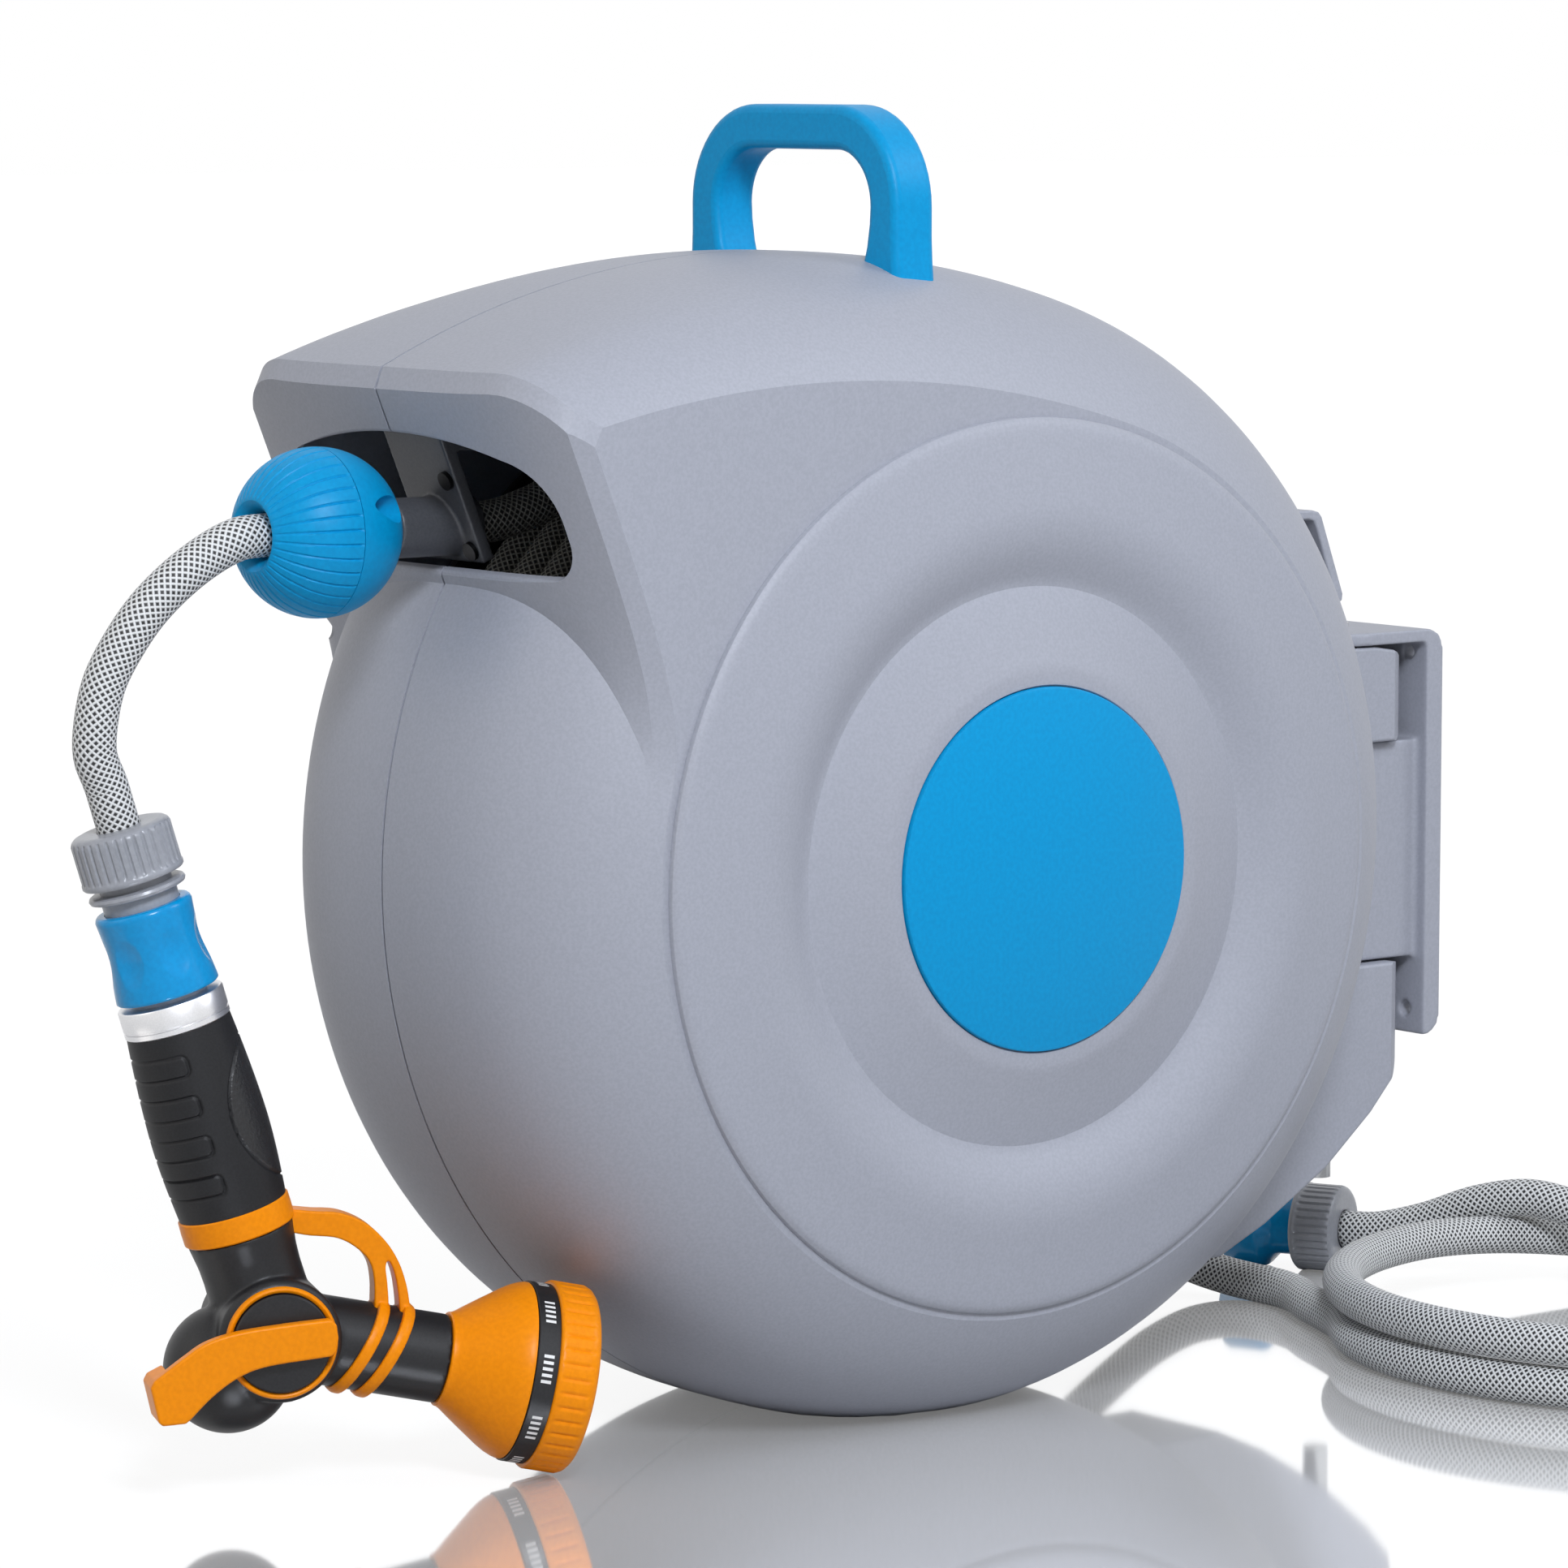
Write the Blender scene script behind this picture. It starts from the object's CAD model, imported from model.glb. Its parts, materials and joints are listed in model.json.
import json
import math
import bmesh
import bpy
from mathutils import Matrix, Vector


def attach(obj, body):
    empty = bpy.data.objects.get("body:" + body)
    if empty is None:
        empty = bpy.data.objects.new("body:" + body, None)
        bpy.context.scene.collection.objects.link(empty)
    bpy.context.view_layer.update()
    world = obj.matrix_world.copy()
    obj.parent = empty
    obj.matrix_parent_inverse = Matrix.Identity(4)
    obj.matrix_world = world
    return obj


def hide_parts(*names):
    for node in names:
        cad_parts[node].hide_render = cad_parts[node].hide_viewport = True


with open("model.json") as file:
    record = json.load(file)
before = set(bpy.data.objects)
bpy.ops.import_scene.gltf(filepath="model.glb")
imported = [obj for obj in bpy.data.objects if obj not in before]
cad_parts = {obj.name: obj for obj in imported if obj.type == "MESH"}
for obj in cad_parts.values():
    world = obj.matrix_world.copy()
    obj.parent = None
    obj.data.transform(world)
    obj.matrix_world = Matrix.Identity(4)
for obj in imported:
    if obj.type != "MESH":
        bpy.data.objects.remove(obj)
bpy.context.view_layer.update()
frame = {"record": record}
bpy.ops.object.select_all(action="DESELECT")

# The view: the reel is seen from the front and to its right, from a little above the
# middle of the casing, through a long lens. The picture is square and 1932 pixels wide.
VIEW_AZIMUTH, VIEW_ELEVATION = math.radians(51.8), math.radians(6.42)
EYE = (1.8568, -1.4932, 0.4929)
FOCAL_PX, IMAGE_PX, SENSOR_MM, CLIP_END = 8052, 1932, 36, 50
back = Vector((math.sin(VIEW_AZIMUTH) * math.cos(VIEW_ELEVATION),
               -math.cos(VIEW_AZIMUTH) * math.cos(VIEW_ELEVATION), math.sin(VIEW_ELEVATION)))
bpy.ops.object.camera_add(location=EYE)
camera = bpy.context.object
camera.name = "view_camera"
camera.data.sensor_width = SENSOR_MM
camera.data.lens = SENSOR_MM * FOCAL_PX / IMAGE_PX
camera.rotation_mode = "QUATERNION"
camera.rotation_quaternion = (-back).to_track_quat("-Z", "Y")
camera.data.clip_end = CLIP_END
bpy.context.scene.camera = camera
bpy.context.scene.view_settings.view_transform = "Standard"

# The casing: two halves moulded in grey polypropylene with a fine spark-eroded texture. Each is a
# loft of a domed round body that runs up into the hood; a chamfer runs round the hood's face, and
# the halves meet in a narrow groove. The mouth is cut through the hood's face with a rounded rim.
MM = 0.001
CROWN_R, DOME_SHARE, CASE_W, WALL, FOOT = 210, 1.2323, 99, 3.5, 204
FRONT_TILT, FRONT_OUT, HOOD_REACH, HOOD_CORNER = math.radians(22.6), 128.7, 246, 38
HOOD_LEAVE = math.radians(90 - 16.8)
EDGE_CUT, SIDE_CUT, SEAM_HALF, SEAM_CUT, SEAM_DEEP = 5.5, 4.4, 0.5, 0.6, 3.0
FACE_BOW, BOW_POWER, HORN, HORN_POWER, HORN_FADE, BOW_FROM = 7.2, 4, 6, 8, 21, 95
CORNER_IN, FLAT_TO = 0.92, 70
HOOD_STEPS, FRONT_STEPS, BARREL_STEPS, FLAT_STEPS, CURVE_STEPS, RIM_STEPS = 40, 28, 170, 14, 24, 4


def linear(hex_colour):
    parts = [int(hex_colour[i:i + 2], 16) / 255 for i in (1, 3, 5)]
    return [c / 12.92 if c <= 0.04045 else ((c + 0.055) / 1.055) ** 2.4 for c in parts] + [1.0]


def new_material(name, **sockets):
    mat = bpy.data.materials.new(name)
    mat.use_nodes = True
    shader = mat.node_tree.nodes["Principled BSDF"]
    for socket, value in sockets.items():
        shader.inputs[socket.replace("_", " ")].default_value = value
    return mat, shader


def add_node(mat, kind, settings=None, **inputs):
    """Adds a node with its settings, and sets or links its inputs by name or by index (i0, i1)."""
    made = mat.node_tree.nodes.new(kind)
    for key, value in (settings or {}).items():
        setattr(made, key, value)
    for key, value in inputs.items():
        by_index = key[0] == "i" and key[1:].isdigit()
        socket = made.inputs[int(key[1:]) if by_index else key.replace("_", " ")]
        if isinstance(value, bpy.types.NodeSocket):
            mat.node_tree.links.new(value, socket)
        else:
            socket.default_value = value
    return made


def set_ramp(ramp, *stops):
    for element, (place, hex_colour) in zip(ramp.color_ramp.elements, stops):
        element.position, element.color = place, linear(hex_colour)


def moulded_material(name, hex_colour, roughness, grain_mm, bump_mm, spread=7, **sockets):
    """An even colour with a fine grain: the eroded skin of a moulded piece or the lines of a turned one.
    Real grain is about 0.2 mm; it is drawn several times coarser, so that it shows."""
    mat, shader = new_material(name, Roughness=roughness, IOR=1.5, **sockets)
    coords = add_node(mat, "ShaderNodeTexCoord")
    grain = add_node(mat, "ShaderNodeTexNoise", Vector=coords.outputs["Object"],
                     Scale=1000 / grain_mm, Detail=2.0)
    tint = add_node(mat, "ShaderNodeValToRGB", i0=grain.outputs[0])
    dark = "#" + "".join(f"{max(0, int(hex_colour[i:i + 2], 16) - spread):02X}" for i in (1, 3, 5))
    set_ramp(tint, (0.35, dark), (0.65, hex_colour))
    bump = add_node(mat, "ShaderNodeBump", Strength=0.3, Distance=bump_mm / 1000, Height=grain.outputs[0])
    mat.node_tree.links.new(tint.outputs[0], shader.inputs["Base Color"])
    mat.node_tree.links.new(bump.outputs[0], shader.inputs["Normal"])
    return mat


def dress(piece, mat, body, slot, *nodes):
    """Gives a piece its material and body, and hides the nodes that it stands for."""
    piece.data.materials.clear()
    piece.data.materials.append(mat)
    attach(piece, body)
    if nodes:
        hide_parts(*nodes)


def select_only(*pieces):
    """Selects these pieces and nothing else, with the first of them active."""
    bpy.ops.object.select_all(action="DESELECT")
    for piece in pieces:
        piece.select_set(True)
    bpy.context.view_layer.objects.active = pieces[0]


def settle(piece, sharp=35):
    """Merges doubled points, turns the normals out and shades smooth up to the sharp angle."""
    select_only(piece)
    bpy.ops.object.mode_set(mode="EDIT")
    bpy.ops.mesh.select_all(action="SELECT")
    bpy.ops.mesh.remove_doubles(threshold=1e-6)
    bpy.ops.mesh.normals_make_consistent(inside=False)
    bpy.ops.object.mode_set(mode="OBJECT")
    bpy.ops.object.shade_smooth_by_angle(angle=math.radians(sharp))
    return piece


def linked(name, mesh):
    """A new object in the scene with this mesh."""
    made = bpy.data.objects.new(name, mesh)
    bpy.context.collection.objects.link(made)
    return made


def mesh_piece(name, points, faces, edges=()):
    """A mesh object from points in millimetres."""
    mesh = bpy.data.meshes.new(name)
    mesh.from_pydata([Vector(p) * MM for p in points], list(edges), list(faces))
    return linked(name, mesh)


def apply_modifier(piece, kind, **settings):
    select_only(piece)
    made = piece.modifiers.new(kind.lower(), kind)
    for key, value in settings.items():
        setattr(made, key, value)
    bpy.ops.object.modifier_apply(modifier=made.name)


def cut(piece, cutter, operation="DIFFERENCE"):
    """Cuts a shape out of the piece, or with INTERSECT cuts the piece down to the shape."""
    apply_modifier(piece, "BOOLEAN", operation=operation, solver="EXACT", object=cutter)
    bpy.data.objects.remove(cutter)


def dome(x):
    """Radius of the round body at a distance x from the middle."""
    return CROWN_R * (1 - (x / (DOME_SHARE * CASE_W)) ** 3) ** (1 / 3)


def front_point(out, along):
    """A point in the plane of a slice, from its distances out of and along the tilted hood face."""
    return Vector((-out * math.cos(FRONT_TILT) - along * math.sin(FRONT_TILT),
                   along * math.cos(FRONT_TILT) - out * math.sin(FRONT_TILT)))


def on_circle(r, angle):
    return Vector((r * math.cos(angle), r * math.sin(angle)))


def band_faces(lower, upper, n):
    """The faces between two rows of n points each, given by the rows' numbers."""
    a, b = lower * n, upper * n
    return [(a + i, a + (i + 1) % n, b + (i + 1) % n, b + i) for i in range(n)]


def casing_slice(x, inset):
    """Outline of the casing at x: hood arc, chamfer, bowed face, round body down to the foot and up. Towards
    the sides the face falls back, and at its foot it flares out into a horn on the round body."""
    r = dome(x) - inset
    level = FRONT_OUT - inset - max(0, x - CASE_W + SIDE_CUT)
    horn, bow = HORN * (x / BOW_FROM) ** HORN_POWER, FACE_BOW * (x / BOW_FROM) ** BOW_POWER
    along_arch = math.sqrt(r * r - (level + horn) ** 2)
    corner = x - (CASE_W - CORNER_IN * HOOD_CORNER)
    drop = HOOD_CORNER - math.sqrt(HOOD_CORNER ** 2 - corner ** 2) if corner > 0 else 0
    along_top = HOOD_REACH - drop - inset
    face_long = along_arch - along_top + EDGE_CUT

    def face_point(along):
        fade = math.exp((along_arch - along) / HORN_FADE)
        return front_point(level + horn * fade - bow * (1 - fade), along)

    leave, edge, arch = on_circle(r, HOOD_LEAVE), face_point(along_top), face_point(along_arch)
    inward = -on_circle(1, HOOD_LEAVE)
    chord = edge - leave
    bend = chord.dot(chord) / (2 * chord.dot(inward))
    middle = leave + bend * inward
    last = math.atan2(edge[1] - middle[1], edge[0] - middle[0]) - EDGE_CUT / bend
    arch_turn = math.atan2(arch[1], arch[0])
    round_turn = 2 * math.pi + HOOD_LEAVE - arch_turn
    hood = [middle + on_circle(bend, HOOD_LEAVE + (last - HOOD_LEAVE) * i / HOOD_STEPS)
            for i in range(HOOD_STEPS + 1)]
    face = [face_point(along_top - EDGE_CUT + face_long * i / FRONT_STEPS) for i in range(FRONT_STEPS)]
    body = [on_circle(r, arch_turn + round_turn * i / BARREL_STEPS) for i in range(BARREL_STEPS)]
    return [(p[0], max(p[1], inset - FOOT) + FOOT) for p in hood + face + body]


def casing_shell(name, side):
    """One half: outer skin, inner skin, flat side walls and the rim at the seam, as one closed mesh."""
    steps = [(SEAM_HALF, SEAM_DEEP), (SEAM_CUT, 0)]
    for start, end, count in ((SEAM_CUT, FLAT_TO, FLAT_STEPS), (FLAT_TO, CASE_W - SIDE_CUT, CURVE_STEPS),
                              (CASE_W - SIDE_CUT, CASE_W, RIM_STEPS)):
        steps += [(start + (end - start) * i / count, 0) for i in range(1, count + 1)]
    rows = [[(side * x, *p) for p in casing_slice(x, deep)] for x, deep in steps]
    outer = len(rows)
    rows += [[(side * x * (CASE_W - WALL) / CASE_W, *p) for p in casing_slice(x, WALL)] for x, deep in steps[::-1]]
    n = len(rows[0])
    points = [p for row in rows for p in row] + [(side * CASE_W, 0, FOOT), (side * (CASE_W - WALL), 0, FOOT)]
    faces = []
    for k in range(len(rows)):
        faces += band_faces(k, (k + 1) % len(rows), n) if k != outer - 1 else []
    for hub, row in ((len(points) - 2, outer - 1), (len(points) - 1, outer)):
        faces += [(row * n + i, row * n + (i + 1) % n, hub) for i in range(n)]
    return settle(mesh_piece(name, points, faces))


def arc(hub, r, start, end, steps=14):
    """Points on a circle about the hub, from the start to the end angle in degrees."""
    return [Vector(hub) + on_circle(r, math.radians(start + (end - start) * i / steps)) for i in range(steps + 1)]


def mirrored(run):
    """The run of points on the other side of the middle, in the other order."""
    return [Vector((-p[0], p[1])) for p in run[::-1]]


MOUTH_HALF_W, MOUTH_LOW, MOUTH_HIGH, MOUTH_ARCH_R, MOUTH_TOP_R, MOUTH_LOW_R = 80, 171, 223.5, 230, 24, 14
MOUTH_RIM, MOUTH_REACH, RIM_CURVE = 1.6, 14, ((-1, 0), (-0.6, 0.15), (-0.25, 0.45), (0, 1))


def mouth_cutter():
    """The mouth's arched outline swept through the hood's face; its last millimetres widen to round the rim."""
    corner_x = MOUTH_HALF_W - MOUTH_TOP_R
    hub_y = MOUTH_HIGH - MOUTH_ARCH_R
    corner_y = hub_y + math.sqrt((MOUTH_ARCH_R - MOUTH_TOP_R) ** 2 - corner_x ** 2)
    turn = math.degrees(math.atan2(corner_y - hub_y, corner_x))
    levels = [(-MOUTH_REACH, 0)] + [(level * MOUTH_RIM, grow * MOUTH_RIM) for level, grow in RIM_CURVE]
    rows = []
    for level, grow in levels + [(MOUTH_REACH, MOUTH_RIM)]:
        right = arc((MOUTH_HALF_W - MOUTH_LOW_R, MOUTH_LOW + MOUTH_LOW_R), MOUTH_LOW_R + grow, -90, 0)
        right += arc((corner_x, corner_y), MOUTH_TOP_R + grow, 0, turn)
        top = arc((0, hub_y), MOUTH_ARCH_R + grow, turn, 180 - turn)[1:-1]
        outline = right + top + mirrored(right)
        rows.append([(p[0], *front_point(FRONT_OUT + level, p[1])) for p in outline])
    n, last = len(rows[0]), len(rows) - 1
    points = [(x, y, z + FOOT) for row in rows for x, y, z in row]
    faces = [face for k in range(last) for face in band_faces(k, k + 1, n)]
    faces += [tuple(range(n))[::-1], tuple(range(last * n, last * n + n))]
    return settle(mesh_piece("mouth_cutter", points, faces))


POST_TURNS, POST_RING_R, POST_R, POST_SEAT = (64, 98, 145, 195, 262, 300), 187, 7.5, 61.4
POCKET_R, POCKET_SIDES, POCKET_LONG = 4.9, 40, 80


def screw_pocket(piece, place, depth):
    """Sinks a round pocket for a screw's head into the piece, along local Z about the place."""
    bpy.ops.mesh.primitive_cylinder_add(vertices=POCKET_SIDES, radius=POCKET_R * MM, depth=depth * MM)
    pocket = bpy.context.object
    pocket.data.transform(place)
    cut(piece, pocket)


# Eroded polypropylene looks matt and even, with a faint grain in the soft light.
grey_plastic = moulded_material("textured_grey_polypropylene", "#A9ABB4", 0.5, 1.2, 0.06)
for shell_name, side, node in (("casing_half_right", 1, "right_shell"), ("casing_half_left", -1, "left_shell")):
    shell = casing_shell(shell_name, side)
    cut(shell, mouth_cutter())
    for turn in map(math.radians, POST_TURNS if side < 0 else ()):
        fore, up = -POST_RING_R * math.sin(turn), POST_RING_R * math.cos(turn)
        spot = Vector((-POST_SEAT - POCKET_LONG / 2, fore, FOOT + max(up, 2 * POST_R - FOOT))) * MM
        screw_pocket(shell, Matrix.Translation(spot) @ Matrix.Rotation(math.pi / 2, 4, "Y"), POCKET_LONG)
    settle(shell, 12)
    dress(shell, grey_plastic, "casing", "casing_grey", node)

# The side panels: dished round covers in the casing's grey plastic, with a crisp valley between the
# raised middle and the outer slope. Each is a turned profile and is snapped onto the casing's flat side.
PANEL_R, PANEL_H, PANEL_SUNK, CAP_R, CAP_SEAT, CAP_H, CAP_GAP = 160, 10, 0.3, 65, 1.5, 2.8, 0.4
DISH_PROFILE = [(70, 10), (72, 9.7), (74, 9.1), (99, 1.1), (100, 0.8), (101.4, 1.1), (104, 2.3), (107, 3.9),
                (110, 5.4), (113, 6.7), (116, 7.7), (119, 8.4), (122, 8.8), (125, 8.9), (128, 8.7), (132, 8.1),
                (140, 6.7), (150, 4.9), (155, 4.0), (157.4, 3.4), (158.8, 2.7), (159.7, 1.8), (160, 0.8)]


def turned(name, profile, steps, place, relief=None, sharp=35):
    """A profile of (radius, height) in millimetres turned about local Z and set in place; relief gives the
    depth by which a point at (turn, height, radius) is sunk."""
    piece = mesh_piece(name, [(r, 0, z) for r, z in profile], [], [(i, i + 1) for i in range(len(profile) - 1)])
    apply_modifier(piece, "SCREW", axis="Z", steps=steps, render_steps=steps,
                   use_merge_vertices=True, merge_threshold=1e-6)
    for v in piece.data.vertices if relief else ():
        r = math.hypot(v.co.x, v.co.y)
        if r > 1e-6:
            depth = relief(math.atan2(v.co.y, v.co.x), v.co.z / MM, r / MM) * MM
            v.co.x, v.co.y = v.co.x * (1 - depth / r), v.co.y * (1 - depth / r)
    piece.data.transform(place)
    return settle(piece, sharp)


def dense(profile, step):
    """The same profile with no stretch longer than step."""
    line = [profile[0]]
    for a, b in zip(profile, profile[1:]):
        count = max(1, math.ceil(math.dist(a, b) / step))
        line += [(a[0] + (b[0] - a[0]) * i / count, a[1] + (b[1] - a[1]) * i / count) for i in range(1, count + 1)]
    return line


low, high = PANEL_H - CAP_SEAT, PANEL_H - CAP_SEAT + CAP_H
panel_profile = [(0, low), (CAP_R + CAP_GAP, low), (CAP_R + CAP_GAP, PANEL_H - 0.4), (CAP_R + 0.7, PANEL_H)]
panel_profile += DISH_PROFILE + [(PANEL_R, -PANEL_SUNK), (0, -PANEL_SUNK)]
cap_profile = [(0, low), (CAP_R, low), (CAP_R, high - 0.9), (CAP_R - 0.3, high - 0.3), (CAP_R - 1, high), (0, high)]
# The blue has a finer skin than the grey, so that its highlights are a little tighter but still soft.
blue_plastic = moulded_material("satin_blue_polypropylene", "#009BD4", 0.42, 1.6, 0.03, Specular_IOR_Level=0.2)
for side, hand in ((1, "right"), (-1, "left")):
    place = Matrix.Translation((side * CASE_W * MM, 0, FOOT * MM)) @ Matrix.Rotation(side * math.pi / 2, 4, "Y")
    panel = turned(hand + "_dished_panel", panel_profile, 256, place, sharp=24)
    dress(panel, grey_plastic, "casing", "casing_grey", hand + "_side_panel")
    cap = turned(hand + "_cap_disc", cap_profile, 192, place, sharp=30)
    dress(cap, blue_plastic, "casing", "trim_blue", hand + "_side_cap")

# The carrying handle: a blue arch moulded as one bar with softened edges and legs that widen at the
# foot. Its outline is extruded, bevelled and seated in the casing's crown.
HANDLE_HALF, HANDLE_TOP, HANDLE_LOW, HANDLE_BAR, HANDLE_CORNER = 60, 269, 202, 16, 36
HANDLE_D, HANDLE_FORE, HANDLE_EDGE = 18.5, 20, 3.2
UPRIGHT = Matrix.Rotation(math.pi / 2, 4, "X")


def plate(name, outline, depth, place, edge, edge_steps=4):
    """An outline in millimetres extruded along local Z, set in place, with its sharp edges rounded."""
    piece = mesh_piece(name, [(p[0], p[1], 0) for p in outline], [range(len(outline))])
    select_only(piece)
    bpy.ops.object.mode_set(mode="EDIT")
    bpy.ops.mesh.select_all(action="SELECT")
    bpy.ops.mesh.extrude_region_move(TRANSFORM_OT_translate={"value": (0, 0, depth * MM)})
    bpy.ops.object.mode_set(mode="OBJECT")
    piece.data.transform(place)
    settle(piece)
    apply_modifier(piece, "BEVEL", width=edge * MM, segments=edge_steps,
                   limit_method="ANGLE", angle_limit=math.radians(50))
    return settle(piece)


inner, corner = HANDLE_HALF - HANDLE_BAR, HANDLE_CORNER - HANDLE_BAR
half = [(HANDLE_HALF + 1.5, HANDLE_LOW), (HANDLE_HALF + 0.4, 214), (HANDLE_HALF, 222)]
half += arc((HANDLE_HALF - HANDLE_CORNER, HANDLE_TOP - HANDLE_CORNER), HANDLE_CORNER, 0, 90)
hollow = [(inner - 5, HANDLE_LOW), (inner - 4, 212), (inner - 1.8, 219), (inner - 0.4, 227)]
hollow += arc((inner - corner, HANDLE_TOP - HANDLE_BAR - corner), corner, 0, 90)
arch_outline = half + mirrored(half) + mirrored(hollow)[::-1] + hollow[::-1]
handle_place = Matrix.Translation((0, (HANDLE_D / 2 - HANDLE_FORE) * MM, FOOT * MM)) @ UPRIGHT
handle = plate("handle_arch", arch_outline, HANDLE_D, handle_place, HANDLE_EDGE, 5)
dress(handle, blue_plastic, "casing", "trim_blue", "carry_handle")

# The wall bracket and the lugs and hook on the casing's back: thick grey mouldings with rounded edges.
# Lugs and hook are outlines extruded across the casing; the bracket takes its solid's shape, rebuilt in
# small cells and smoothed.
PIN_BACK, LUG_HALF, LUG_R, LUG_TURN, HOOK_HALF = 234, 26, 29.6, 28, 33


def joined(pieces):
    """The pieces as one object, under the name of the first."""
    select_only(*pieces)
    bpy.ops.object.join()
    return pieces[0]


def rebuilt(piece, cell, rounds):
    """Rebuilds a piece in small cells and smooths it, so that its edges soften and its shapes flow together."""
    apply_modifier(piece, "REMESH", mode="VOXEL", voxel_size=cell * MM)
    apply_modifier(piece, "SMOOTH", factor=0.5, iterations=rounds)
    return settle(piece, 60)


def softened(name, node, cell, rounds):
    """A softened copy of a solid."""
    source = bpy.data.objects[node]
    made = linked(name, source.data.copy())
    made.data.transform(source.matrix_world)
    return rebuilt(settle(made), cell, rounds)


def across(half):
    """Turns an outline in (Y, Z) into a plate from -half to half along X."""
    return Matrix(((0, 0, 1, -half * MM), (1, 0, 0, 0), (0, 1, 0, 0), (0, 0, 0, 1)))


upper_lug = [(120, 226.6), (250, 226.6), (258, 229), (262, 234), (263.4, 240), (263.4, 246), (261, 253),
             (256, 258.4), (248, 262), (238, 263.6), (120, 263.6)]
lower_lug = [(120, 34), (160, 34), (183.1, 44.3), (214.3, 62.5), (238, 82), (252, 97), (260, 108), (263.4, 117),
             (263.4, 130), (261, 135.5), (256, 139.1), (250, 140.1), (120, 140.1)]
beside = LUG_HALF + 1
round_end = [(-beside, 100), (beside, 100), (beside, PIN_BACK)]
round_end += arc((0, PIN_BACK), LUG_R, LUG_TURN, 180 - LUG_TURN, 48) + [(-beside, PIN_BACK)]
lugs = [plate(name, outline, 2 * LUG_HALF, across(LUG_HALF), 1.2)
        for name, outline in (("hinge_lugs", upper_lug), ("lower_lug", lower_lug))]
for lug in lugs:
    cut(lug, plate("round_end", round_end, 400, Matrix.Identity(4), 0.01, 1), "INTERSECT")
dress(settle(joined(lugs), 25), grey_plastic, "casing", "casing_grey", "rear_hinge_block")
hook_outline = [(170, 318.6), (198, 318.6), (201, 317.8), (202.6, 316), (213.9, 286), (213.6, 283.6), (212, 282.4),
                (210.4, 283), (209.8, 285), (200, 311.8), (198.6, 314.4), (196, 315.2), (170, 315.2)]
hook = plate("hose_hook", hook_outline, 2 * HOOK_HALF, across(HOOK_HALF), 0.8)
dress(hook, grey_plastic, "casing", "casing_grey", "rear_hook")
dress(softened("wall_plate", "wall_bracket", 0.9, 6), grey_plastic, "bracket", "casing_grey", "wall_bracket")

# The hose on the drum and the length that runs forward to the ball: a rubber tube in a braided
# polyester jacket, white yarn with black tracer yarns. The jacket gives a dull sheen and a small
# diamond pattern that follows the hose. The inner layers lie under the outer one.
HOSE_D, HOSE_STEP = 0.015, 0.003
AXIS_H, BALL_FORE, BALL_UP = 0.204, 0.236, 0.124
YARN_LENGTH, YARNS_ROUND, YARN_RELIEF = 0.0026, 16, 0.0006
WIND_R, WIND_TURNS, WIND_PITCH, WIND_STEPS, LAYER_DROP, INNER_LAYERS = 0.158, 6, 0.0167333, 720, 0.0153, 3
TUBE_END, LEAD_R = 0.172, 0.176


def smooth_route(points, step):
    """Catmull-Rom line through the points, in equal small steps."""
    pts = [Vector(p) for p in points]
    pts = [2 * pts[0] - pts[1]] + pts + [2 * pts[-1] - pts[-2]]
    line = []
    for a, b, c, d in zip(pts, pts[1:], pts[2:], pts[3:]):
        count = max(2, math.ceil((c - b).length / step))
        for i in range(count):
            t = i / count
            line.append(0.5 * (2 * b + (c - a) * t + (2 * a - 5 * b + 4 * c - d) * t * t
                               + (3 * b - a - 3 * c + d) * t ** 3))
    return line + [pts[-2]]


def hose_tube(name, lines, ref, sides=24):
    """Closed tubes round the lines, with a UV map that counts turns across and metres along, and their length."""
    mesh = bpy.data.meshes.new(name)
    shape = bmesh.new()
    uv = shape.loops.layers.uv.new("hose_uv")
    run = 0.0
    for line in lines:
        rings, lengths = [], []
        for i, p in enumerate(line):
            along = (line[min(i + 1, len(line) - 1)] - line[max(i - 1, 0)]).normalized()
            side = along.cross(ref).normalized()
            up = side.cross(along)
            run += (p - line[i - 1]).length if i else 0.0
            lengths.append(run)
            turns = [2 * math.pi * k / sides for k in range(sides)]
            rings.append([shape.verts.new(p + HOSE_D / 2 * (math.cos(t) * side + math.sin(t) * up)) for t in turns])
        for i in range(len(rings) - 1):
            for k in range(sides):
                j = (k + 1) % sides
                face = shape.faces.new([rings[i][k], rings[i][j], rings[i + 1][j], rings[i + 1][k]])
                face.smooth = True
                for loop, (u, v) in zip(face.loops, [(k, i), (k + 1, i), (k + 1, i + 1), (k, i + 1)]):
                    loop[uv].uv = (u / sides, lengths[v])
        shape.faces.new(rings[0][::-1])
        shape.faces.new(rings[-1])
    bmesh.ops.recalc_face_normals(shape, faces=shape.faces)
    shape.to_mesh(mesh)
    shape.free()
    return linked(name, mesh), run


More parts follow.
